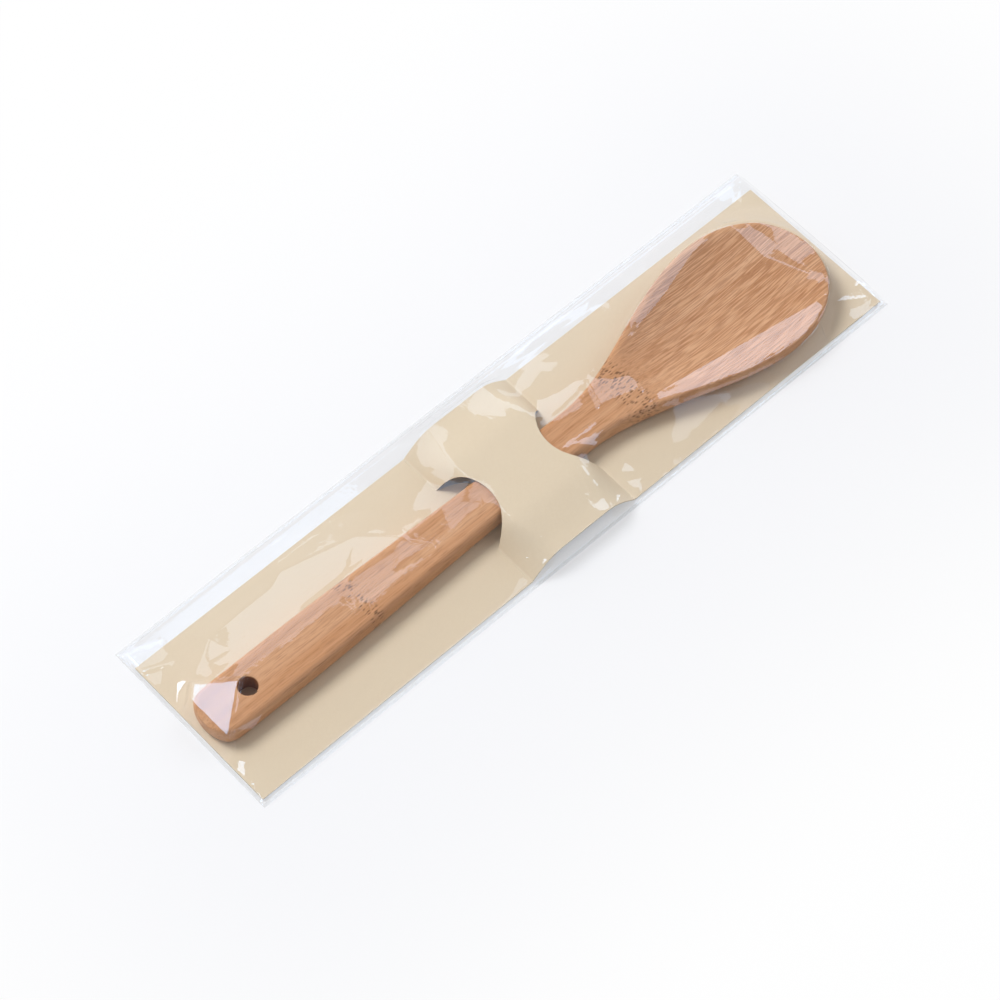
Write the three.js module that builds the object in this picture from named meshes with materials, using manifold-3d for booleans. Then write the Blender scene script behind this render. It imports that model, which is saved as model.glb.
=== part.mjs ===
// A bamboo cooking spoon held under the raised bridge of a creased card, in a clear film bag.
// Millimetres, +Z up, X along the spoon with the bowl at +X. The origin is the middle of the bag's underside.
import * as THREE from 'three';
import { ConvexGeometry } from 'three/addons/geometries/ConvexGeometry.js';
import { mergeVertices } from 'three/addons/utils/BufferGeometryUtils.js';
import Module from 'manifold-3d';

const wasm = await Module();
wasm.setup();

// Spoon
const SPOON_L = 300;            // butt end to bowl tip
const HANDLE_W = 22;            // at the grip
const HANDLE_T = 8.5;
const GRIP_L = 36;              // even-width part of the grip, from the butt end
const TAPER_L = 114;            // from the grip to the slim neck
const BUTT_R = 9.9;             // rounding of the handle's end, seen from above
const NECK_W = 17.4;
const BOWL_L = 120;             // from where the neck starts to flare to the tip
const BOWL_W = 58.6;
const BOWL_T = 9.6;             // blank thickness at the bowl
const BOWL_NOSE = 35;           // widest point of the bowl to the tip
const RIM_W = 2.6;
const DISH_L = 89;
const DISH_DEPTH = 5.6;
const ARRIS_R = 2.4;            // rounding of the handle's long edges
const HOLE_D = 7.5;             // hanging hole
const HOLE_INSET = 20.5;        // hole centre to butt end

// Card
const CARD_T = 0.5;
const CARD_SIDE = 5.7;          // card beyond the bowl, each side
const CARD_BUTT = 2;            // card beyond the handle's end
const CARD_TIP = 6;             // card beyond the bowl's tip
const SPOON_OFF = -1.4;         // the spoon lies a little off the card's axis
const BRIDGE_L = 51;            // crease to crease
const SLIT_HALF = 17;           // half the chord of each curved slit
const SLIT_SAG = 10.7;          // how far each raised cut edge bows towards the bridge's middle
const SLIT_KERF = 0.8;
const BRIDGE_FLAT = 16.5;       // half-length of the bridge's level top over the handle
const BRIDGE_EASE = 5;          // how much shorter the level top is at the card's edges
const BRIDGE_DROP = 2;          // how much lower the bridge is at the card's edges

// Bag
const BAG_SIDE = 6;             // bag beyond the card, each side
const BAG_END = 1.6;            // bag beyond the card, each end
const CARD_OFF = -3.4;          // the card lies a little off the bag's axis
const FILM_T = 0.15;
const SEAM_W = 1.2;             // cut-and-weld seam
const WELD_GAP = 0.1;
const FILM_CLEAR = 0.5;
const MOUTH_GAP = 1.2;          // the open mouth lies this far above the card

const GAP = 0.3;                // running gap between pieces that lie on each other

const CARD_L = CARD_BUTT + SPOON_L + CARD_TIP;
const CARD_W = BOWL_W + 2 * CARD_SIDE;
const BAG_L = CARD_L + 2 * BAG_END;
const BAG_W = CARD_W + 2 * BAG_SIDE;
const CARD_Y = CARD_OFF;
const SPOON_Y = CARD_Y + SPOON_OFF;
const SPOON_BUTT_X = CARD_BUTT - CARD_L / 2;
const CARD_Z = FILM_T + GAP;
const SPOON_Z = CARD_Z + CARD_T + GAP;
const HANDLE_TOP = SPOON_Z + HANDLE_T;
const BOWL_TOP = SPOON_Z + BOWL_T;
const CREASE_X = BRIDGE_L / 2;
const BRIDGE_RISE = HANDLE_T + CARD_T + 3 * GAP;
const BRIDGE_GRIP = HANDLE_W / 2 + Math.abs(SPOON_OFF) + 4 * GAP;

const clamp = (v, a, b) => Math.min(b, Math.max(a, v));
const smooth = (a, b, v) => { const t = clamp((v - a) / (b - a), 0, 1); return t * t * (3 - 2 * t); };

function closedGeometry(points, triangles) {
  const g = new THREE.BufferGeometry();
  g.setAttribute('position', new THREE.Float32BufferAttribute(points.flat(), 3));
  g.setIndex(triangles.flat());
  return g;
}

// Skin through rings of equal point count, closed with a fan at each end.
function loft(rings) {
  const n = rings[0].length;
  const points = rings.flat();
  const tris = [];
  for (let i = 0; i + 1 < rings.length; i++) {
    for (let j = 0; j < n; j++) {
      const a = i * n + j, b = i * n + (j + 1) % n;
      tris.push([a, a + n, b + n], [a, b + n, b]);
    }
  }
  for (const [ring, flip] of [[0, false], [rings.length - 1, true]]) {
    const c = rings[ring].reduce((s, p) => s.map((v, k) => v + p[k] / n), [0, 0, 0]);
    const hub = points.push(c) - 1;
    for (let j = 0; j < n; j++) {
      const a = ring * n + j, b = ring * n + (j + 1) % n;
      tris.push(flip ? [hub, b, a] : [hub, a, b]);
    }
  }
  return closedGeometry(points, tris);
}

// Thin closed sheet from a grid of points; the thickness is added along the surface normal, upwards.
function sheet(nu, nv, at, thickness) {
  const low = [], high = [], tris = [];
  const e = 1e-3;
  for (let i = 0; i <= nu; i++) {
    for (let j = 0; j <= nv; j++) {
      const u = i / nu, v = j / nv;
      const p = at(u, v);
      const du = at(u + e, v).map((c, k) => c - at(u - e, v)[k]);
      const dv = at(u, v + e).map((c, k) => c - at(u, v - e)[k]);
      const normal = new THREE.Vector3(...du).cross(new THREE.Vector3(...dv)).normalize();
      low.push(p);
      high.push(p.map((c, k) => c + thickness * normal.getComponent(k)));
    }
  }
  const m = low.length, id = (i, j) => i * (nv + 1) + j;
  const quad = (a, b, c, d) => tris.push([a, b, c], [a, c, d]);
  for (let i = 0; i < nu; i++) {
    for (let j = 0; j < nv; j++) {
      const q = [id(i, j), id(i + 1, j), id(i + 1, j + 1), id(i, j + 1)];
      quad(...q.map((k) => k + m));
      quad(...q.reverse());
    }
  }
  const wall = (a, b) => quad(a, b, b + m, a + m);
  for (let i = 0; i < nu; i++) { wall(id(i, 0), id(i + 1, 0)); wall(id(i + 1, nv), id(i, nv)); }
  for (let j = 0; j < nv; j++) { wall(id(nu, j), id(nu, j + 1)); wall(id(0, j + 1), id(0, j)); }
  return closedGeometry([...low, ...high], tris);
}

function slab(x0, x1, y0, y1, z0, z1) {
  return new THREE.BoxGeometry(x1 - x0, y1 - y0, z1 - z0)
    .translate((x0 + x1) / 2, (y0 + y1) / 2, (z0 + z1) / 2);
}

function solid(geometry) {
  const g = geometry.clone();
  g.deleteAttribute('normal');
  g.deleteAttribute('uv');
  const m = mergeVertices(g, 1e-4);
  return new wasm.Manifold(new wasm.Mesh({
    numProp: 3,
    vertProperties: new Float32Array(m.attributes.position.array),
    triVerts: new Uint32Array(m.index.array),
  }));
}

function fromSolid(s) {
  const m = s.getMesh();
  const g = new THREE.BufferGeometry();
  g.setAttribute('position', new THREE.BufferAttribute(new Float32Array(m.vertProperties), 3));
  g.setIndex(new THREE.BufferAttribute(new Uint32Array(m.triVerts), 1));
  return g;
}

// Half-width of the spoon's outline, s being the distance from the butt end.
const NECK_S = SPOON_L - BOWL_L;
const WIDEST = SPOON_L - BOWL_NOSE;
function halfWidth(s) {
  if (s > WIDEST) {
    const t = (s - WIDEST) / BOWL_NOSE;
    return BOWL_W / 2 * Math.pow(Math.max(0, 1 - Math.pow(t, 2.1)), 1 / 2.1);
  }
  const handle = HANDLE_W / 2 + (NECK_W - HANDLE_W) / 2 * smooth(GRIP_L, GRIP_L + TAPER_L, s);
  const w = handle + (BOWL_W - NECK_W) / 2 * smooth(NECK_S, WIDEST, s);
  if (s >= BUTT_R) return w;
  return w * Math.pow(Math.max(0, 1 - Math.pow(1 - s / BUTT_R, 2.7)), 1 / 2.7);
}

// How far handle becomes bowl, from 0 to 1.
const bowlShare = (s) => smooth(NECK_S + BOWL_L / 10, NECK_S + BOWL_L * 0.4, s);

// Depth of the dish, zero at its back edge by the neck and at the rim.
const DISH_TO = SPOON_L - RIM_W;
const DISH_FROM = DISH_TO - DISH_L;
function dish(s, v) {
  if (s <= DISH_FROM || s >= DISH_TO) return 0;
  const t = (s - DISH_FROM) / DISH_L;
  const along = Math.pow(Math.sin(Math.PI * Math.pow(t, 0.86)), 0.8);
  const w = halfWidth(s) - RIM_W;
  if (w <= 0) return 0;
  const u = clamp(Math.abs(v) / w, 0, 1);
  return DISH_DEPTH * along * Math.pow(1 - Math.pow(u, 2.3), 0.9);
}

// One closed section across the spoon at s: top row, far edge, bottom row, near edge.
function spoonRing(s) {
  const w = Math.max(halfWidth(s), HANDLE_W / 40);
  const bowl = bowlShare(s), ease = ARRIS_R / 2;
  const tip = smooth(SPOON_L - BOWL_NOSE / 4, SPOON_L, s), butt = 1 - smooth(0, BUTT_R / 3, s);
  const top = HANDLE_T + (BOWL_T - HANDLE_T) * bowl - ease * (tip + butt);
  const low = 0.375 * BOWL_T * bowl * smooth(SPOON_L - 1.2 * BOWL_NOSE, SPOON_L, s) + ease * butt;
  const r = Math.min(ARRIS_R * (1 - 0.62 * bowl), w * 0.6, (top - low) / 2 - 0.2);
  const ry = Math.min(r + (w * 0.62 - r) * bowl, w * 0.9);
  const rz = Math.min(r + (0.5 * (top - low) - r) * bowl, (top - low) - r - 0.2);
  const x = SPOON_BUTT_X + s;
  const ring = [];
  const put = (v, z) => ring.push([x, SPOON_Y + v, SPOON_Z + z]);
  const half = w - r, rows = 11, arc = 4;
  for (let i = -rows; i <= rows; i++) {
    const v = half * Math.sin(i / rows * Math.PI / 2);
    put(v, top - dish(s, v));
  }
  for (let i = 1; i <= arc; i++) {
    const a = i / arc * Math.PI / 2;
    put(half + r * Math.sin(a), top - r + r * Math.cos(a));
  }
  for (let i = 0; i <= arc + 1; i++) {
    const a = i / (arc + 1) * Math.PI / 2;
    put(w - ry + ry * Math.cos(a), low + rz - rz * Math.sin(a));
  }
  for (let i = 1; i <= 3; i++) put((w - ry) * (1 - i / 2), low);
  for (let i = 1; i <= arc + 1; i++) {
    const a = (1 - i / (arc + 1)) * Math.PI / 2;
    put(-(w - ry) - ry * Math.cos(a), low + rz - rz * Math.sin(a));
  }
  for (let i = 0; i < arc; i++) {
    const a = (1 - i / arc) * Math.PI / 2;
    put(-half - r * Math.sin(a), top - r + r * Math.cos(a));
  }
  return ring;
}

function makeSpoon() {
  const stations = [];
  const spread = (from, to, n) => {
    for (let i = 1; i <= n; i++) stations.push(from + (to - from) * i / n);
  };
  for (let i = 0; i <= 9; i++) stations.push(BUTT_R * (1.005 - Math.cos(i / 9 * Math.PI / 2)));
  spread(BUTT_R * 1.005, NECK_S, 12);
  spread(NECK_S, WIDEST, 20);
  for (let i = 1; i <= 13; i++) stations.push(WIDEST + BOWL_NOSE * 0.9991 * Math.sin(i / 13 * Math.PI / 2));
  const blank = solid(loft(stations.map(spoonRing)));
  const hole = new THREE.CylinderGeometry(HOLE_D / 2, HOLE_D / 2, HANDLE_T + 4, 40).rotateX(Math.PI / 2)
    .translate(SPOON_BUTT_X + HOLE_INSET, SPOON_Y, SPOON_Z + HANDLE_T / 2);
  return fromSolid(blank.subtract(solid(hole)));
}

// Where the bridge's raised cut edge lies at a distance v from the card's long axis.
const SLIT_R = (SLIT_HALF ** 2 + SLIT_SAG ** 2) / (2 * SLIT_SAG);
function bridgeEnd(v) {
  if (Math.abs(v) >= SLIT_HALF) return CREASE_X;
  return CREASE_X - SLIT_SAG + SLIT_R - Math.sqrt(SLIT_R ** 2 - v * v);
}

// Height of the bridge above the flat card.
function bridgeHeight(x, v) {
  const q = smooth(BRIDGE_GRIP, CARD_W / 2, Math.abs(v));
  const slope = CREASE_X - BRIDGE_FLAT + BRIDGE_EASE * q;
  const t = clamp((CREASE_X - Math.abs(x)) / slope, 0, 1);
  return (BRIDGE_RISE - BRIDGE_DROP * q) * Math.sin(t * Math.PI / 2);
}

// The tongue was cut from the bridge, so it reaches as far as the bridge's flank is long.
function tongueEnd(v) {
  const end = bridgeEnd(v), n = 40;
  let flank = 0;
  for (let i = 0; i < n; i++) {
    const a = end + (CREASE_X - end) * i / n, b = end + (CREASE_X - end) * (i + 1) / n;
    flank += Math.hypot(b - a, bridgeHeight(b, v) - bridgeHeight(a, v));
  }
  return CREASE_X - Math.max(0, flank - SLIT_KERF);
}

function makeCard() {
  const steps = (from, to, n) => Array.from({ length: n }, (_, i) => from + (to - from) * i / n);
  const side = [...steps(CARD_W / 2, SLIT_HALF, 4), SLIT_HALF, ...steps(SLIT_HALF - SLIT_KERF, 0, 9)];
  const rows = [...side.map((v) => -v), 0, ...side.reverse()];
  const lap = SLIT_KERF / 4;
  const across = (t) => {
    const f = clamp(t, 0, 1) * (rows.length - 1), k = Math.min(Math.floor(f), rows.length - 2);
    const v = rows[k] + (rows[k + 1] - rows[k]) * (f - k);
    return v + (t < 0 ? t : t > 1 ? t - 1 : 0);
  };
  const bridge = solid(sheet(28, rows.length - 1, (u, t) => {
    const v = across(t), reach = bridgeEnd(v) + (Math.abs(v) >= SLIT_HALF ? lap : 0);
    const x = (2 * u - 1) * reach;
    return [x, CARD_Y + v, CARD_Z + bridgeHeight(x, v)];
  }, CARD_T));
  const half = SLIT_HALF - SLIT_KERF;
  const tongue = [];
  for (let i = 1; i < 20; i++) {
    const v = half * Math.cos(i / 20 * Math.PI);
    tongue.push([tongueEnd(v), v]);
  }
  const outline = [[CARD_L / 2, CARD_W / 2], [CREASE_X, CARD_W / 2], [CREASE_X, half], ...tongue,
    [CREASE_X, -half], [CREASE_X, -CARD_W / 2], [CARD_L / 2, -CARD_W / 2]];
  const panel = (side) => {
    const shape = new THREE.Shape(outline.map(([x, y]) => new THREE.Vector2(side * x, y)));
    return solid(new THREE.ExtrudeGeometry(shape, { depth: CARD_T, bevelEnabled: false }).translate(0, CARD_Y, CARD_Z));
  };
  return fromSolid(bridge.add(panel(1)).add(panel(-1)));
}

// Front film: drawn tight over what it holds, with a flat welded margin on three sides and an open mouth at the bowl.
function makeFrontFilm() {
  const base = FILM_T + WELD_GAP;
  const x0 = -BAG_L / 2 + SEAM_W, x1 = BAG_L / 2, over = x1 + SEAM_W, y1 = BAG_W / 2 - SEAM_W;
  const high = [], foot = [];
  for (let i = 0; i <= 100; i++) {
    const s = SPOON_L * i / 100;
    const z = HANDLE_TOP + (BOWL_TOP - HANDLE_TOP) * bowlShare(s) + FILM_CLEAR;
    const w = halfWidth(s) + FILM_CLEAR;
    for (const side of [-1, 1]) high.push([SPOON_BUTT_X + s, SPOON_Y + side * w, z]);
  }
  for (let i = 0; i <= 16; i++) {
    const x = CREASE_X * (i / 8 - 1);
    for (const v of [-CARD_W / 2, -SLIT_HALF, SLIT_HALF, CARD_W / 2]) {
      high.push([x, CARD_Y + v, CARD_Z + CARD_T + bridgeHeight(x, v) + FILM_CLEAR]);
    }
  }
  for (const side of [-1, 1]) {
    for (const end of [-1, 1]) {
      high.push([end * CARD_L / 2, CARD_Y + side * CARD_W / 2, CARD_Z + CARD_T + GAP]);
    }
    high.push([over, CARD_Y + side * CARD_W / 2, CARD_Z + CARD_T + MOUTH_GAP]);
    foot.push([x0, side * y1], [over, side * y1]);
  }
  const hull = (grow, floor) => solid(new ConvexGeometry([
    ...high.map(([x, y, z]) => new THREE.Vector3(x, y, z + grow)),
    ...foot.flatMap(([x, y]) => [base, floor].map((z) => new THREE.Vector3(
      x === over ? x : x - grow, y + Math.sign(y) * grow, z))),
  ]));
  const mouth = solid(slab(x1, over + SEAM_W, -BAG_W, BAG_W, -SEAM_W, 2 * BOWL_TOP));
  const tent = hull(FILM_T, base).subtract(hull(0, base - SEAM_W)).subtract(mouth);
  const weld = (...box) => solid(slab(...box, base, base + FILM_T));
  return fromSolid(tent
    .add(weld(-BAG_L / 2, x1, y1, BAG_W / 2))
    .add(weld(-BAG_L / 2, x1, -BAG_W / 2, -y1))
    .add(weld(-BAG_L / 2, x0, -BAG_W / 2, BAG_W / 2)));
}

const bamboo = new THREE.MeshStandardMaterial({ color: '#CC9C78', roughness: 0.6, metalness: 0 });
const board = new THREE.MeshStandardMaterial({ color: '#E0CFB5', roughness: 0.75, metalness: 0 });
const film = new THREE.MeshStandardMaterial({
  color: '#F5F7F9', roughness: 0.08, metalness: 0, transparent: true, opacity: 0.25 });

const pack = new THREE.Group();
pack.name = 'packed_spoon';
function place(name, geometry, material) {
  geometry.computeVertexNormals();
  const mesh = new THREE.Mesh(geometry, material);
  mesh.name = name;
  pack.add(mesh);
}
place('spoon', makeSpoon(), bamboo);
place('backing_card', makeCard(), board);
place('bag_front_film', makeFrontFilm(), film);
place('bag_back_film', slab(-BAG_L / 2, BAG_L / 2, -BAG_W / 2, BAG_W / 2, 0, FILM_T), film);

export default pack;
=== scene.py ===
import math

import bmesh
import bpy
import numpy as np
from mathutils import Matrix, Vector, noise
from mathutils.bvhtree import BVHTree


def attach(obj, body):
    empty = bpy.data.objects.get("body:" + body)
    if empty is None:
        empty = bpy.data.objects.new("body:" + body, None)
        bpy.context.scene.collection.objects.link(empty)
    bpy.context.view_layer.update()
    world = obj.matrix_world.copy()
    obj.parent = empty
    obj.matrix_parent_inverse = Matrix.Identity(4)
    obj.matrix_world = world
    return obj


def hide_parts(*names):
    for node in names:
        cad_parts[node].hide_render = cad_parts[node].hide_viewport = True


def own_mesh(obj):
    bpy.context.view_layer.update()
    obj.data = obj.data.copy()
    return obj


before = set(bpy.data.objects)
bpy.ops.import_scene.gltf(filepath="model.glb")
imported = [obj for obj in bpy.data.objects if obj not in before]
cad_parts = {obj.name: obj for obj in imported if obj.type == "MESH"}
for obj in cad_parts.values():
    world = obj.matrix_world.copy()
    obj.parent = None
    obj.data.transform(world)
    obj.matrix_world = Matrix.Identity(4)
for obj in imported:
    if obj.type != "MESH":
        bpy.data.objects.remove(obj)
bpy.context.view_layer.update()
MM = 0.001

# Spoon, in mm along its own axis from the butt end
SPOON_L = 300
SPOON_X, SPOON_Y, SPOON_Z = -152, -4.8, 1.25
HANDLE_W, HANDLE_T = 22, 8.5
NECK_W = 17.4
BOWL_W, BOWL_T = 58.6, 9.6
RIM_W, DISH_DEPTH = 2.6, 5.6
ARRIS_R = 2.4
HOLE_D, HOLE_INSET, HOLE_BREAK = 7.5, 20.5, 0.4
GRIP_L, TAPER_L, BUTT_R = 36, 114, 9.9
BOWL_L, BOWL_NOSE, DISH_L = 120, 35, 89
NOSE_CURVE, BUTT_CURVE = 2.1, 2.7
END_EASE, TIP_LIFT, TIP_HALF = 1.2, 3.6, 0.55
NECK_S, WIDEST = SPOON_L - BOWL_L, SPOON_L - BOWL_NOSE
# Node rows of the bamboo, in m: where each lies along x and how wide it is, then how far it sways
NODE_ROWS, NODE_SWAY = ((-0.0795, 0.0035), (0.0515, 0.0075)), 0.006
# Card
CARD_L, CARD_W, CARD_T = 308, 70, 0.45
CARD_Y, CARD_Z = -3.4, 0.45
CREASE_X, SLIT_HALF, SLIT_SAG, SLIT_KERF = 25.5, 17, 10.7, 0.8
BRIDGE_FLAT, BRIDGE_EASE, BRIDGE_GRIP = 16.5, 5, 13.6
BRIDGE_RISE, BRIDGE_DROP = 9.9, 2
# Bag
BAG_L, BAG_W, FILM_T, SEAM_W = 311.2, 82, 0.06, 1.2
FILM_Z, FILM_GAP, BACK_Z, MOUTH_RISE = 0.25, 0.25, 0.02, 2.4
BUTT_EASE, SIDE_EASE = 0.2, 0.4
FILM_CELLS, BACK_CELLS, SKIN_ROUNDS = (400, 104), (80, 24), 4000
PUFF_BESIDE, PUFF_HANDLE = 0.003, 0.004
PLEAT_FALL, TAUT_FALL = 0.9, 2.5
# Crumple and ripple of the slack film: height, then the size of one along x and y
CRUMPLE, CRUMPLE_X, CRUMPLE_Y, CRUMPLE_BEND = 0.35, 42, 15, 30
RIPPLE, RIPPLE_OVER, RIPPLE_X, RIPPLE_Y = 0.15, 0.05, 28, 10
# Folds in the front film: ends (x, y, height), then how steeply each falls away on its left and
# on its right
FOLDS = [
    ((-153.7, 29.2, 0.45), (-142, 22.5, 0.8), 0.45, 0.45),
    ((-142, 22.5, 0.8), (-134.9, 30.3, 0.5), 0.45, 0.45),
    ((-142, 22.5, 0.8), (-144, 11, 0.6), 0.45, 0.45),
    ((152.5, -30, 0.5), (152.8, -39.6, 0.6), 0.35, 0.35),
    ((138, 20, 0.6), (153, 36, 1.0), 0.3, 0.3),
    ((18, -30, 0.5), (40, -38, 0.3), 0.12, 0.12),
    ((-18, -32, 0.6), (-36, -38, 0.3), 0.12, 0.12),
    ((-138, 14, 2.1), (-128.4, 20, 2.6), 0.15, 0.17),
    ((-128.4, 20, 2.6), (-99.3, 20.9, 2.6), 0.15, 0.17),
    ((-99.3, 20.9, 2.6), (-92.1, 23.8, 2.9), 0.15, 0.17),
    ((-92.1, 23.8, 2.9), (-62.9, 15.9, 1.9), 0.15, 0.17),
    ((-62.9, 15.9, 1.9), (-52.5, 5, 0.6), 0.15, 0.1),
    ((57.6, -15.2, 0.9), (131, -27, 0.8), 0.02, 0.1),
    ((57.6, -15.2, 0.9), (50, -34, 0.5), 0.03, 0.1),
    ((131, 20, 0.6), (130.5, 1, 0.9), 0.1, 0.03),
    ((130.5, 1, 0.9), (139, -18, 0.5), 0.1, 0.03),
    ((68, 7.5, 0.5), (76, 11.1, 0.6), 0.09, 0.015),
    ((76, 11.1, 0.6), (92.6, 14.7, 0.65), 0.09, 0.015),
    ((92.6, 14.7, 0.65), (111.5, 20.9, 0.4), 0.09, 0.015),
    ((111.5, 20.9, 0.4), (127, 20.6, 0.3), 0.09, 0.015),
]
# Pleats in the front film: flat triangles, as corners (x, y, height)
PLEATS = [
    ((-52.5, 4, 0.1), (-46, -7, 0.9), (-61, -4.5, 0.7)),
    ((45, 11, 0.2), (57, 4, 0.2), (39, -5.3, 1.2)),
    ((57, 4, 0.2), (55.6, -10.4, 1.2), (39, -5.3, 1.2)),
]
# Film pulled taut over the butt end, at the bottom corner, from the tip to the right corner and
# over the bowl's right rim: flat triangles, as corners (x, y, z)
TAUT = [
    ((-145.5, 10, 10.2), (-131.8, -1.5, 11.8), (-150.4, -17, 10.25)),
    ((-145.5, 10, 10.2), (-150.4, -17, 10.25), (-150.4, 5, 9.81)),
    ((-154.2, -17.5, 1.25), (-149.5, -24, 1.75), (-153.6, -37, 1.5)),
    ((132, -25.6, 11.56), (153, -32.6, 2.04), (134, -30.2, 10.21)),
    ((153, -32.6, 2.04), (153, -36.6, 1.59), (134, -30.2, 10.21)),
    ((57.6, -15.2, 11.53), (76, -28, 10.66), (64, -23.7, 10.83)),
    ((57.6, -15.2, 11.53), (88, -32, 10.51), (76, -28, 10.66)),
    ((57.6, -15.2, 11.53), (100, -35, 10.47), (88, -32, 10.51)),
    ((57.6, -15.2, 11.53), (113, -36.3, 10.62), (100, -35, 10.47)),
    ((57.6, -15.2, 11.53), (131, -27, 11.9), (113, -36.3, 10.62)),
    ((131, -27, 11.9), (124, -35, 10.97), (113, -36.3, 10.62)),
]


def linear(code):
    """sRGB hex to linear RGBA."""
    rgb = [int(code[i:i + 2], 16) / 255 for i in (1, 3, 5)]
    return tuple(
        c / 12.92 if c <= 0.04045 else ((c + 0.055) / 1.055) ** 2.4 for c in rgb) + (1,)


def smooth(a, b, v):
    """0 before a, 1 after b and an even ease between them."""
    t = min(1, max(0, (v - a) / (b - a)))
    return t * t * (3 - 2 * t)


# Modelling helpers

def grid(nx, ny, at):
    """A grid bent into place: at gives the point in mm for shares along the two sides."""
    bm = bmesh.new()
    bmesh.ops.create_grid(bm, x_segments=nx, y_segments=ny, size=1)
    for v in bm.verts:
        v.co = Vector(at((v.co.x + 1) / 2, (v.co.y + 1) / 2)) * MM
    return bm


def piece(name, bm, body, material, node):
    """Makes the mesh a piece that rides on a body and stands for a CAD node."""
    mesh = bpy.data.meshes.new(name)
    bm.to_mesh(mesh)
    bm.free()
    obj = bpy.data.objects.new(name, mesh)
    bpy.context.scene.collection.objects.link(obj)
    mesh.materials.append(material)
    mesh.shade_smooth()
    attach(obj, body)
    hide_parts(node)
    return obj


def settle(obj):
    """Applies the modifiers."""
    graph = bpy.context.evaluated_depsgraph_get()
    obj.data = bpy.data.meshes.new_from_object(obj.evaluated_get(graph))
    obj.modifiers.clear()


def crisp(mesh, angle):
    """Smooth shading that keeps edges sharper than the angle crisp."""
    mesh.shade_smooth()
    mesh.set_sharp_from_angle(angle=math.radians(angle))


# Materials

def new_material(name):
    mat = bpy.data.materials.new(name)
    mat.use_nodes = True
    mat.node_tree.nodes.clear()
    return mat, mat.node_tree


def add(tree, kind, links=None, **settings):
    """Adds a node; settings are its properties or input values, links its linked inputs."""
    node = tree.nodes.new("ShaderNode" + kind)
    for key, value in settings.items():
        if hasattr(node, key):
            setattr(node, key, value)
        else:
            node.inputs[key.replace("_", " ")].default_value = value
    for key, source in (links or {}).items():
        tree.links.new(source, node.inputs[key])
    return node


def ramp(tree, factor, stops):
    node = add(tree, "ValToRGB", {"Fac": factor})
    band = node.color_ramp
    while len(band.elements) < len(stops):
        band.elements.new(0.5)
    for element, (place, code) in zip(band.elements, stops):
        element.position = place
        element.color = linear(code)
    return node.outputs["Color"]


def calc(tree, operation, *terms):
    node = add(tree, "Math", operation=operation)
    for socket, term in zip(node.inputs, terms):
        if isinstance(term, (int, float)):
            socket.default_value = term
        else:
            tree.links.new(term, socket)
    return node.outputs[0]


def remap(tree, value, near, far, low=0, high=1, kind="SMOOTHSTEP"):
    node = add(tree, "MapRange", {"Value": value}, interpolation_type=kind)
    ends = {"From Min": near, "From Max": far, "To Min": low, "To Max": high}
    for key, number in ends.items():
        node.inputs[key].default_value = number
    return node.outputs[0]


def tint(tree, share, ground, code):
    node = add(tree, "Mix", {0: share, 6: ground}, data_type="RGBA")
    node.inputs[7].default_value = linear(code)
    return node.outputs[2]


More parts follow.
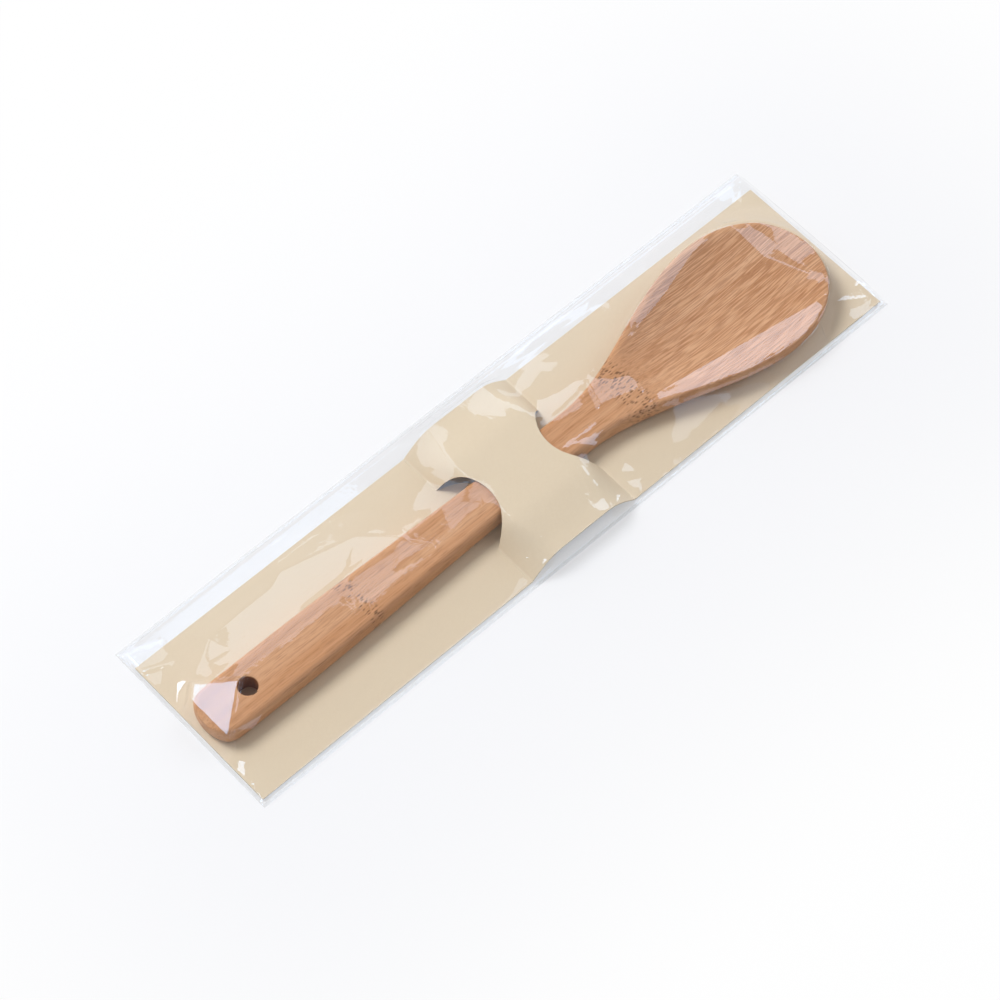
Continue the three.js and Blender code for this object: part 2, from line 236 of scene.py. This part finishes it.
def bamboo():
    """Sanded bamboo: matt, with tan bands, fibres and short dashes along the grain, corduroy in the
    bowl, pitted node rows and painted shade on the wall of the hanging hole."""
    mat, t = new_material("sanded_bamboo")
    place = add(t, "TexCoord").outputs["Object"]
    wander = add(t, "TexNoise", {"Vector": place}, Scale=28, Detail=1)
    shift = add(t, "VectorMath", {0: wander.outputs["Color"], 2: place}, operation="MULTIPLY_ADD")
    shift.inputs[1].default_value = (0, 0.0012, 0.0012)

    def strands(length, width, depth, detail):
        """Noise drawn out along the grain, in mm."""
        scale = (1000 / length, 1000 / width, 1000 / depth)
        drawn = add(t, "Mapping", {"Vector": shift.outputs[0]}, Scale=scale)
        links = {"Vector": drawn.outputs[0]}
        grain = add(t, "TexNoise", links, Scale=1, Detail=detail, Roughness=0.6)
        return grain.outputs["Fac"]

    axes = add(t, "SeparateXYZ", {"Vector": place})
    x, y = axes.outputs["X"], axes.outputs["Y"]
    # the corduroy shows only on the bowl's upper faces
    normal = add(t, "NewGeometry").outputs["Normal"]
    up = add(t, "SeparateXYZ", {"Vector": normal}).outputs["Z"]
    bowl = calc(t, "MULTIPLY", remap(t, x, 0.05, 0.08), remap(t, up, 0.4, 0.75))
    fibre, cord = strands(40, 0.6, 0.6, 3), strands(9, 0.4, 3, 0)
    bands = [(0.3, "#C38C5E"), (0.5, "#CD996E"), (0.7, "#D6A67E")]
    colour = ramp(t, strands(160, 5.2, 5.2, 2), bands)
    colour = tint(t, remap(t, fibre, 0.52, 0.34, 0, 0.32), colour, "#A06A40")
    dash = remap(t, strands(7, 0.4, 0.4, 1), 0.56, 0.64, 0, 0.36)
    colour = tint(t, dash, colour, "#946036")
    furrow, ridge = remap(t, cord, 0.49, 0.41, 0, 0.44), remap(t, cord, 0.51, 0.6, 0, 0.45)
    colour = tint(t, calc(t, "MULTIPLY", bowl, furrow), colour, "#A26D44")
    colour = tint(t, calc(t, "MULTIPLY", bowl, ridge), colour, "#E2B48E")
    # node rows: ticks up to 2 mm long, some left out at random, in a narrow row on the grip and a
    # wide one on the neck
    cells = add(t, "Mapping", {"Vector": place}, Scale=(450, 1650, 1650))
    pit = add(t, "TexVoronoi", {"Vector": cells.outputs[0]}, Scale=1)
    kept = add(t, "SeparateColor", {"Color": pit.outputs["Color"]}).outputs["Red"]
    dot = remap(t, pit.outputs["Distance"], 0.27, 0.5, 1, 0)
    dot = calc(t, "MULTIPLY", dot, calc(t, "GREATER_THAN", kept, 0.3))
    sway = add(t, "TexNoise", {"Vector": place}, Scale=90, Detail=1).outputs["Fac"]
    bent = calc(t, "MULTIPLY_ADD", sway, NODE_SWAY, x)
    rows = []
    for where, wide in NODE_ROWS:
        off = calc(t, "SUBTRACT", bent, where + NODE_SWAY / 2)
        rows.append(remap(t, calc(t, "ABSOLUTE", off), wide / 2, wide, 0.85, 0))
    colour = tint(t, calc(t, "MULTIPLY", dot, calc(t, "MAXIMUM", *rows)), colour, "#633D20")
    # painted shade: the wall of the drilled hole is coloured darker, for the shade that falls
    # inside it
    from_x = calc(t, "SUBTRACT", x, (SPOON_X + HOLE_INSET) * MM)
    from_y = calc(t, "SUBTRACT", y, SPOON_Y * MM)
    reach = calc(t, "MULTIPLY_ADD", from_x, from_x, calc(t, "MULTIPLY", from_y, from_y))
    reach = calc(t, "SQRT", reach)
    inside = remap(t, reach, HOLE_D / 2 * MM, (HOLE_D / 2 + 0.1) * MM, 1, 0)
    colour = tint(t, inside, colour, "#9A6238")
    relief = calc(t, "MULTIPLY_ADD", cord, bowl, fibre)
    bump = add(t, "Bump", {"Height": relief}, Strength=0.2, Distance=0.0002)
    links = {"Base Color": colour, "Normal": bump.outputs[0]}
    shader = add(t, "BsdfPrincipled", links, Roughness=0.62)
    shader.inputs["Specular IOR Level"].default_value = 0.3
    add(t, "OutputMaterial", {"Surface": shader.outputs[0]})
    return mat


def cream_card():
    """Uncoated cream board: matt, with fine fibres and a painted highlight, a paler line along each
    fold of the bridge."""
    mat, t = new_material("uncoated_cream_card")
    place = add(t, "TexCoord").outputs["Object"]
    fibre = add(t, "TexNoise", {"Vector": place}, Scale=1100, Detail=3, Roughness=0.6)
    fibre = fibre.outputs["Fac"]
    colour = ramp(t, fibre, [(0.3, "#DECDB2"), (0.7, "#E2D2B8")])
    axes = add(t, "SeparateXYZ", {"Vector": place})
    off = calc(t, "SUBTRACT", calc(t, "ABSOLUTE", axes.outputs["X"]), CREASE_X * MM)
    across = calc(t, "ABSOLUTE", calc(t, "SUBTRACT", axes.outputs["Y"], CARD_Y * MM))
    # painted highlight: a paler line along each fold, beyond the ends of the slits
    crease_highlight = calc(t, "MULTIPLY", remap(t, calc(t, "ABSOLUTE", off), 0.0001, 0.0006, 0.35, 0),
                  remap(t, across, (SLIT_HALF - 1) * MM, SLIT_HALF * MM))
    colour = tint(t, crease_highlight, colour, "#EFE4D0")
    bump = add(t, "Bump", {"Height": fibre}, Strength=0.05, Distance=0.0001)
    links = {"Base Color": colour, "Normal": bump.outputs[0]}
    shader = add(t, "BsdfPrincipled", links, Roughness=0.78)
    shader.inputs["Specular IOR Level"].default_value = 0.3
    add(t, "OutputMaterial", {"Surface": shader.outputs[0]})
    return mat


def clear_film():
    """Clear polypropylene film: seen straight through, with the hard gloss of its outer face and
    slightly hazy welds."""
    mat, t = new_material("clear_polypropylene_film")
    place = add(t, "TexCoord").outputs["Object"]
    ripple = add(t, "TexNoise", {"Vector": place}, Scale=60, Detail=4)
    bump = add(t, "Bump", {"Height": ripple.outputs["Fac"]}, Strength=0.06, Distance=0.002)
    edge = add(t, "Fresnel", {"Normal": bump.outputs[0]}, IOR=1.6)
    inner = add(t, "NewGeometry").outputs["Backfacing"]
    hidden = calc(t, "MAXIMUM", inner, add(t, "LightPath").outputs["Is Shadow Ray"])
    shine = calc(t, "MULTIPLY", edge.outputs[0], calc(t, "SUBTRACT", 1, hidden))
    clear = add(t, "BsdfTransparent")
    gloss = add(t, "BsdfGlossy", {"Normal": bump.outputs[0]}, Roughness=0.03)
    film = add(t, "MixShader", {0: shine, 1: clear.outputs[0], 2: gloss.outputs[0]})
    # weld along the sides and the butt end
    axes = add(t, "SeparateXYZ", {"Vector": place})
    side, butt = (BAG_W / 2 - SEAM_W) * MM, (SEAM_W - BAG_L / 2) * MM
    across = calc(t, "ABSOLUTE", axes.outputs["Y"])
    haze = calc(t, "MAXIMUM", remap(t, across, side - 0.0002, side, 0, 0.05),
                remap(t, axes.outputs["X"], butt + 0.0002, butt, 0, 0.05))
    milky = add(t, "BsdfDiffuse")
    milky.inputs["Color"].default_value = linear("#F2F4F6")
    mix = add(t, "MixShader", {0: haze, 1: film.outputs[0], 2: milky.outputs[0]})
    add(t, "OutputMaterial", {"Surface": mix.outputs[0]})
    return mat


BAMBOO, CARD, FILM = bamboo(), cream_card(), clear_film()

# Spoon

def half_width(s):
    if s > WIDEST:
        past = (s - WIDEST) / BOWL_NOSE
        return BOWL_W / 2 * max(0, 1 - past**NOSE_CURVE) ** (1 / NOSE_CURVE)
    w = HANDLE_W / 2 + (NECK_W - HANDLE_W) / 2 * smooth(GRIP_L, GRIP_L + TAPER_L, s)
    w += (BOWL_W - NECK_W) / 2 * smooth(NECK_S, WIDEST, s)
    if s >= BUTT_R:
        return w
    return w * max(0, 1 - (1 - s / BUTT_R) ** BUTT_CURVE) ** (1 / BUTT_CURVE)


def bowl_share(s):
    return smooth(NECK_S + BOWL_L / 10, NECK_S + BOWL_L * 0.4, s)


def dish(s, v):
    end = SPOON_L - RIM_W
    t = (s - end + DISH_L) / DISH_L
    w = half_width(s) - RIM_W
    if not 0 < t < 1 or w <= 0:
        return 0
    u = min(1, abs(v) / w)
    return DISH_DEPTH * math.sin(math.pi * t**0.86) ** 0.8 * (1 - u**2.3) ** 0.9


def spoon_ring(s):
    w = max(half_width(s), TIP_HALF)
    bowl = bowl_share(s)
    tip = smooth(WIDEST + 0.75 * BOWL_NOSE, SPOON_L, s)
    butt = 1 - smooth(0, BUTT_R / 3, s)
    top = HANDLE_T + (BOWL_T - HANDLE_T) * bowl - END_EASE * (tip + butt)
    lift = smooth(SPOON_L - 1.2 * BOWL_NOSE, SPOON_L, s)
    low = TIP_LIFT * bowl * lift + END_EASE * butt
    r = min(ARRIS_R * (1 - 0.62 * bowl), w * 0.6, (top - low) / 2 - 0.2)
    ry = min(r + (w * 0.62 - r) * bowl, w * 0.9)
    rz = min(r + (0.5 * (top - low) - r) * bowl, top - low - r - 0.2)
    half, quarter = w - r, math.pi / 2
    ring = []
    for i in range(-20, 21):
        v = half * math.sin(i / 20 * quarter)
        ring.append((v, top - dish(s, v)))
    for side in (1, -1):
        arc = [(half + r * math.sin(a), top - r + r * math.cos(a))
               for a in (i / 6 * quarter for i in range(1, 7))]
        arc += [(w - ry + ry * math.cos(a), low + rz - rz * math.sin(a))
                for a in (i / 8 * quarter for i in range(9))]
        ring += arc if side > 0 else [((w - ry) * j / 3, low) for j in (2, 1, 0, -1, -2)]
        ring += [] if side > 0 else [(-v, z) for v, z in reversed(arc)]
    return [(SPOON_X + s, SPOON_Y + v, SPOON_Z + z) for v, z in ring]


def make_spoon():
    stations = [BUTT_R * (1.005 - math.cos(i / 12 * math.pi / 2)) for i in range(13)]
    stations += [10 + i * 5 for i in range(1, 35)]
    stations += [NECK_S + (WIDEST - NECK_S) * i / 50 for i in range(1, 50)]
    stations += [WIDEST + BOWL_NOSE * 0.9991 * math.sin(i / 26 * math.pi / 2) for i in range(27)]
    rings = [spoon_ring(s) for s in stations]
    n = len(rings[0])
    last = len(rings) - 1
    bm = grid(last, n, lambda u, t: rings[round(u * last)][round(t * n) % n])
    bmesh.ops.remove_doubles(bm, verts=bm.verts, dist=1e-6)
    bmesh.ops.holes_fill(bm, edges=bm.edges, sides=0)
    bmesh.ops.recalc_face_normals(bm, faces=bm.faces)
    obj = piece("bamboo_spoon", bm, "spoon", BAMBOO, "spoon")
    # hanging hole
    cut = bmesh.new()
    bmesh.ops.create_cone(cut, cap_ends=True, segments=64, radius1=HOLE_D / 2 * MM,
                          radius2=HOLE_D / 2 * MM, depth=0.02)
    bmesh.ops.translate(cut, verts=cut.verts,
                        vec=Vector((SPOON_X + HOLE_INSET, SPOON_Y, SPOON_Z + HANDLE_T / 2)) * MM)
    mesh = bpy.data.meshes.new("hole_cutter")
    cut.to_mesh(mesh)
    cut.free()
    cutter = bpy.data.objects.new("hole_cutter", mesh)
    bpy.context.scene.collection.objects.link(cutter)
    drill = obj.modifiers.new("hanging_hole", "BOOLEAN")
    drill.object, drill.solver = cutter, "EXACT"
    settle(obj)
    done = obj.data
    bpy.data.objects.remove(cutter)
    bm = bmesh.new()
    bm.from_mesh(done)
    middle = Vector((SPOON_X + HOLE_INSET, SPOON_Y)) * MM
    rim = [e for e in bm.edges if e.calc_face_angle(0) > 1.2
           and all(abs((v.co.xy - middle).length - HOLE_D / 2 * MM) < 2e-5 for v in e.verts)]
    bmesh.ops.bevel(bm, geom=rim, offset=HOLE_BREAK * MM, affect="EDGES", segments=3,
                    profile=0.5, material=-1)
    bm.to_mesh(done)
    bm.free()
    crisp(done, 50)
    return obj


# Card

SLIT_R = (SLIT_HALF**2 + SLIT_SAG**2) / (2 * SLIT_SAG)


def bridge_end(v):
    if abs(v) >= SLIT_HALF:
        return CREASE_X
    return CREASE_X - SLIT_SAG + SLIT_R - math.sqrt(SLIT_R**2 - v * v)


def bridge_height(x, v):
    q = smooth(BRIDGE_GRIP, CARD_W / 2, abs(v))
    t = min(1, (CREASE_X - abs(x)) / (CREASE_X - BRIDGE_FLAT + BRIDGE_EASE * q))
    return (BRIDGE_RISE - BRIDGE_DROP * q) * math.sin(max(0, t) * math.pi / 2)


def tongue_end(v):
    """The tongue was cut from the bridge, so it is as long as the bridge's flank, less the cut."""
    end = bridge_end(v)
    steps = [end + (CREASE_X - end) * i / 40 for i in range(41)]
    flank = sum(math.hypot(q - p, bridge_height(q, v) - bridge_height(p, v))
                for p, q in zip(steps, steps[1:]))
    return CREASE_X - max(0, flank - SLIT_KERF)


def make_card():
    half = [0, 2, 4, 6, 8, 9.5, 11, 12.2, 13.3, 14.3, 15.2, 15.8, 16.2, 16.6]
    half += [SLIT_HALF, 18, 20, 23, 26, 29, 32, CARD_W / 2]
    rows = [-v for v in reversed(half[1:])] + half
    n = len(rows) - 1

    def bridge(u, t):
        v = rows[round(t * n)]
        x = (2 * u - 1) * bridge_end(v)
        return x, CARD_Y + v, CARD_Z + bridge_height(x, v)

    def panel(side):
        def at(u, t):
            v = rows[round(t * n)]
            x = tongue_end(v) + (CARD_L / 2 - tongue_end(v)) * u**1.6
            return side * x, CARD_Y + v, CARD_Z
        return at

    bm = grid(60, n, bridge)
    for side in (1, -1):
        wing = grid(30, n, panel(side))
        mesh = bpy.data.meshes.new("wing")
        wing.to_mesh(mesh)
        wing.free()
        bm.from_mesh(mesh)
        bpy.data.meshes.remove(mesh)
    bmesh.ops.remove_doubles(bm, verts=bm.verts, dist=1e-6)
    bmesh.ops.recalc_face_normals(bm, faces=bm.faces)
    if sum(f.normal.z for f in bm.faces) < 0:
        bmesh.ops.reverse_faces(bm, faces=bm.faces)
    obj = piece("cream_card", bm, "card", CARD, "backing_card")
    wall = obj.modifiers.new("board", "SOLIDIFY")
    wall.thickness, wall.offset = CARD_T * MM, 1
    settle(obj)
    crisp(obj.data, 25)
    return obj


# Bag

def fold(x, y, line):
    """Height that one fold adds at a point."""
    (ax, ay, ah), (bx, by, bh), left, right = line
    length = math.hypot(bx - ax, by - ay)
    along = ((x - ax) * (bx - ax) + (y - ay) * (by - ay)) / length
    off = ((bx - ax) * (y - ay) - (by - ay) * (x - ax)) / length
    past = max(0, -along, along - length)
    share = min(1, max(0, along / length))
    return max(0, ah + (bh - ah) * share - math.hypot(off, past) * (left if off > 0 else right))


def pleat(x, y, corners, fall):
    """Height of one flat triangle at a point, falling away at its edges."""
    (ax, ay, ah), (bx, by, bh), (cx, cy, ch) = corners
    area = (bx - ax) * (cy - ay) - (cx - ax) * (by - ay)
    b = ((x - ax) * (cy - ay) - (cx - ax) * (y - ay)) / area
    c = ((bx - ax) * (y - ay) - (x - ax) * (by - ay)) / area
    if b >= 0 and c >= 0 and b + c <= 1:
        return ah + (bh - ah) * b + (ch - ah) * c
    sides = zip(corners, corners[1:] + corners[:1])
    return max(fold(x, y, (p, q, fall, fall)) for p, q in sides)


def facet(x, y):
    """Crumple of flat triangles with random corner heights."""
    i, j = math.floor(x), math.floor(y)
    fx, fy = x - i, y - j

    def corner(a, b):
        return noise.cell(Vector((i + a + 0.5, j + b + 0.5, 3.5)))

    if fx + fy < 1:
        return corner(0, 0) * (1 - fx - fy) + corner(1, 0) * fx + corner(0, 1) * fy
    return corner(1, 1) * (fx + fy - 1) + corner(0, 1) * (1 - fx) + corner(1, 0) * (1 - fy)


def film_heights(nx, ny, under):
    """Film drawn over its contents: a stretched skin, puffed by the air beside the spoon, that
    rests on what it meets."""
    graph = bpy.context.evaluated_depsgraph_get()
    trees = [BVHTree.FromObject(obj, graph) for obj in under]
    xs = np.linspace(-BAG_L / 2, BAG_L / 2, nx + 1)
    ys = np.linspace(-BAG_W / 2, BAG_W / 2, ny + 1)
    rest = np.full((nx + 1, ny + 1), FILM_Z)
    puff = np.full((nx + 1, ny + 1), PUFF_BESIDE)
    for i, x in enumerate(xs):
        s = x - SPOON_X
        half = half_width(s) if 0 < s < SPOON_L else 0
        for j, y in enumerate(ys):
            above = Vector((x, y, 40)) * MM
            hits = [tree.ray_cast(above, Vector((0, 0, -1)))[0] for tree in trees]
            rest[i, j] = max([FILM_Z] + [hit.z / MM + FILM_GAP for hit in hits if hit])
            if abs(y - SPOON_Y) < half:
                puff[i, j] = PUFF_HANDLE if s < NECK_S + 20 else 0
    # the film clears every edge by one cell, so that no face of it cuts a corner
    wide = np.pad(rest, 1, mode="edge")
    near = [wide[i:i + nx + 1, j:j + ny + 1] for i in range(3) for j in range(3)]
    rest = np.max(near, axis=0)
    seam = np.zeros(rest.shape, bool)
    inside = BAG_W / 2 - SEAM_W
    seam[xs < SEAM_W - BAG_L / 2 + BUTT_EASE] = True
    seam[:, abs(ys) > inside - SIDE_EASE] = True
    z = np.where(seam, FILM_Z, rest + 1)
    z[-1] = FILM_Z + MOUTH_RISE * np.sqrt(np.maximum(0, 1 - (ys / inside)**2))
    step = puff[1:-1, 1:-1] * (xs[1] - xs[0])**2 / 4
    for _ in range(SKIN_ROUNDS):
        skin = (z[:-2, 1:-1] + z[2:, 1:-1] + z[1:-1, :-2] + z[1:-1, 2:]) / 4 + step
        skin = np.maximum(skin, rest[1:-1, 1:-1])
        z[1:-1, 1:-1] = np.where(seam[1:-1, 1:-1], FILM_Z, skin)
    for i, x in enumerate(xs):
        for j, y in enumerate(ys):
            if seam[i, j]:
                continue
            free = smooth(0.4, 3, z[i, j] - rest[i, j]) * smooth(0, 6, inside - abs(y))
            s = x - SPOON_X
            over = 0 < s < SPOON_L and abs(y - SPOON_Y) < half_width(s)
            ripple = noise.noise(Vector((x / RIPPLE_X, y / RIPPLE_Y, 2)))
            crumple = 0
            if not over:
                bend = noise.noise(Vector((x / CRUMPLE_BEND, y / CRUMPLE_BEND, 7)))
                tilt = facet(x / CRUMPLE_X + 0.7 * bend, y / CRUMPLE_Y + 0.6 * bend)
                crumple = CRUMPLE * (tilt - 0.5)
            crumple += (RIPPLE_OVER if over else RIPPLE) * ripple
            z[i, j] = max(z[i, j] + free * crumple, rest[i, j])
            lifts = [fold(x, y, line) for line in FOLDS]
            lifts += [pleat(x, y, corners, PLEAT_FALL) for corners in PLEATS]
            z[i, j] += max(lifts) * smooth(0, 2, inside - abs(y))
            taut = [pleat(x, y, corners, TAUT_FALL) for corners in TAUT]
            z[i, j] = max([z[i, j]] + taut)
    return z


def make_bag(under):
    nx, ny = FILM_CELLS
    heights = film_heights(nx, ny, under)

    def front(u, t):
        return (u - 0.5) * BAG_L, (t - 0.5) * BAG_W, heights[round(u * nx), round(t * ny)]

    film = piece("bag_front", grid(nx, ny, front), "bag", FILM, "bag_front_film")
    flat = grid(*BACK_CELLS, lambda u, t: ((u - 0.5) * BAG_L, (t - 0.5) * BAG_W, BACK_Z))
    back = piece("bag_back", flat, "bag", FILM, "bag_back_film")
    for obj in (film, back):
        wall = obj.modifiers.new("film", "SOLIDIFY")
        wall.thickness, wall.offset = FILM_T * MM, 1
    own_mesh(film)


make_bag([make_spoon(), make_card()])

# Stage

FLOOR_HALF, FLOOR_DROP = 4, 0.0002
# how far inside the card's outline the floor starts to pale, in mm, and where that ends, in m
FLOOR_INSET, FLOOR_FADE = 12, 0.18

floor_mat, t = new_material("white_floor")
# plain matt white under the pack, fading to an even white backdrop further out
path = add(t, "LightPath")
seen = calc(t, "MAXIMUM", path.outputs["Is Camera Ray"], path.outputs["Is Glossy Ray"])
seen = calc(t, "MAXIMUM", seen, path.outputs["Is Transmission Ray"])
spot = add(t, "VectorMath", {0: add(t, "TexCoord").outputs["Object"]}, operation="SUBTRACT")
spot.inputs[1].default_value = (0, CARD_Y * MM, 0)
spot = add(t, "VectorMath", {0: spot.outputs[0]}, operation="ABSOLUTE")
spot = add(t, "VectorMath", {0: spot.outputs[0]}, operation="SUBTRACT")
core = ((CARD_L / 2 - FLOOR_INSET) * MM, (CARD_W / 2 - FLOOR_INSET) * MM, 0)
spot.inputs[1].default_value = core
spot = add(t, "VectorMath", {0: spot.outputs[0]}, operation="MAXIMUM")
spot = add(t, "VectorMath", {0: spot.outputs[0]}, operation="LENGTH").outputs["Value"]
share = calc(t, "ADD", remap(t, spot, 0.002, FLOOR_INSET * MM, 0, 0.5),
             remap(t, spot, FLOOR_INSET * MM, FLOOR_FADE, 0, 0.48))
share = calc(t, "MULTIPLY", seen, share)
matt = add(t, "BsdfDiffuse")
matt.inputs["Color"].default_value = linear("#EFF0F4")
white = add(t, "Emission", Strength=1.0)
mix = add(t, "MixShader", {0: share, 1: matt.outputs[0], 2: white.outputs[0]})
add(t, "OutputMaterial", {"Surface": mix.outputs[0]})
bm = bmesh.new()
bmesh.ops.create_grid(bm, x_segments=2, y_segments=2, size=FLOOR_HALF)
mesh = bpy.data.meshes.new("floor")
bm.to_mesh(mesh)
bm.free()
floor = bpy.data.objects.new("floor", mesh)
floor.location.z = -FLOOR_DROP
mesh.materials.append(floor_mat)
bpy.context.scene.collection.objects.link(floor)

world = bpy.data.worlds.new("studio")
bpy.context.scene.world = world
world.use_nodes = True
# a room with white walls: pale at the horizon, dimmer overhead and on the near side
t = world.node_tree
look = add(t, "SeparateXYZ", {"Vector": add(t, "TexCoord").outputs["Generated"]})
glow = remap(t, look.outputs["Z"], 0, 0.75, 1, 0.32, "LINEAR")
glow = calc(t, "MULTIPLY", glow, calc(t, "MULTIPLY_ADD", look.outputs["Y"], 0.3, 0.92))
sky = t.nodes["Background"]
sky.inputs["Color"].default_value = linear("#FAFBFF")
t.links.new(glow, sky.inputs["Strength"])


def towards(azimuth, elevation):
    """Direction out from the pack, in degrees round it and above the floor."""
    a, e = math.radians(azimuth), math.radians(elevation)
    return Vector((math.sin(a) * math.cos(e), -math.cos(a) * math.cos(e), math.sin(e)))


def softbox(name, azimuth, elevation, distance, size, power):
    """Square lamp aimed at the pack, which doesn't show in gloss."""
    lamp = bpy.data.lights.new(name, "AREA")
    lamp.shape, lamp.size, lamp.size_y, lamp.energy = "RECTANGLE", size, size, power
    obj = bpy.data.objects.new(name, lamp)
    back = towards(azimuth, elevation)
    obj.location = back * distance
    obj.rotation_euler = back.to_track_quat("Z", "Y").to_euler()
    obj.visible_glossy = False
    bpy.context.scene.collection.objects.link(obj)


softbox("key_softbox", 203, 53, 1.8, 0.72, 22)
softbox("end_fill", 80, 38, 2.0, 1.2, 8)


def reflector(name, middle, size, glow, tilt=0, code="#C6E0FF"):
    """Pale blue panel, flat overhead or tilted up on edge, that shows only in gloss."""
    lamp = bpy.data.lights.new(name, "AREA")
    lamp.shape, lamp.size, lamp.size_y = "RECTANGLE", size[0], size[1]
    lamp.energy = glow * math.pi * size[0] * size[1]
    lamp.color = linear(code)[:3]
    obj = bpy.data.objects.new(name, lamp)
    obj.location, obj.rotation_euler.x = middle, math.radians(tilt)
    obj.visible_diffuse = obj.visible_camera = False
    bpy.context.scene.collection.objects.link(obj)


# each is named for where its veil or glint falls on the film in the main view
reflector("reflector_handle", (0.172, 0.535, 0.7), (0.175, 0.25), 2.8)
reflector("reflector_neck", (0.48, 0.538, 0.7), (0.28, 0.325), 3.4)
reflector("reflector_bowl", (0.39, 0.16, 0.7), (0.16, 0.15), 5.6)
reflector("reflector_card", (0.16, -0.88, 0.7), (0.4, 0.9), 2.2)
reflector("reflector_key", (-0.15, 0.66, 0.7), (0.42, 0.6), 2.4)
reflector("reflector_streak", (-0.52, 0.1, 0.7), (0.2, 0.26), 9)
reflector("reflector_stem", (-1.03, 1.3, 0.7), (0.4, 0.5), 14)
reflector("reflector_grip", (0.132, 0.3675, 0.7), (0.146, 0.085), 2.8)
reflector("reflector_wedge", (0.1785, 0.2935, 0.7), (0.053, 0.063), 2.8)
reflector("reflector_top", (1.02, 1.6, 0.7), (0.55, 1.0), 2.2)
reflector("reflector_tip", (0.685, 0.285, 0.7), (0.23, 0.17), 3.4)
reflector("reflector_butt", (-0.14, 0.35, 0.7), (0.2, 0.23), 11.5, code="#A8D4FF")
reflector("reflector_corner", (0.8, -0.6, 0.7), (0.5, 0.7), 4)
reflector("reflector_end", (2.05, 0.27, 0.7), (0.5, 0.5), 6)
reflector("reflector_side", (0.5, -1.5, 0.5), (0.6, 0.9), 0.9, 90)

# Camera, fitted to the card's straight edges

SENSOR_MM, LENS_MM = 36, 129.6
VIEW_AZIMUTH, VIEW_ELEVATION, VIEW_DISTANCE = -42.54, 59.78, 1.3203
VIEW_MIDDLE = (-11.02, -5.26, 0.95)

camera = bpy.data.cameras.new("camera")
camera.sensor_width, camera.lens = SENSOR_MM, LENS_MM
eye = bpy.data.objects.new("camera", camera)
back = towards(VIEW_AZIMUTH, VIEW_ELEVATION)
eye.location = Vector(VIEW_MIDDLE) * MM + back * VIEW_DISTANCE
eye.rotation_euler = back.to_track_quat("Z", "Y").to_euler()
bpy.context.scene.collection.objects.link(eye)
bpy.context.scene.camera = eye
bpy.context.scene.view_settings.view_transform = "Standard"
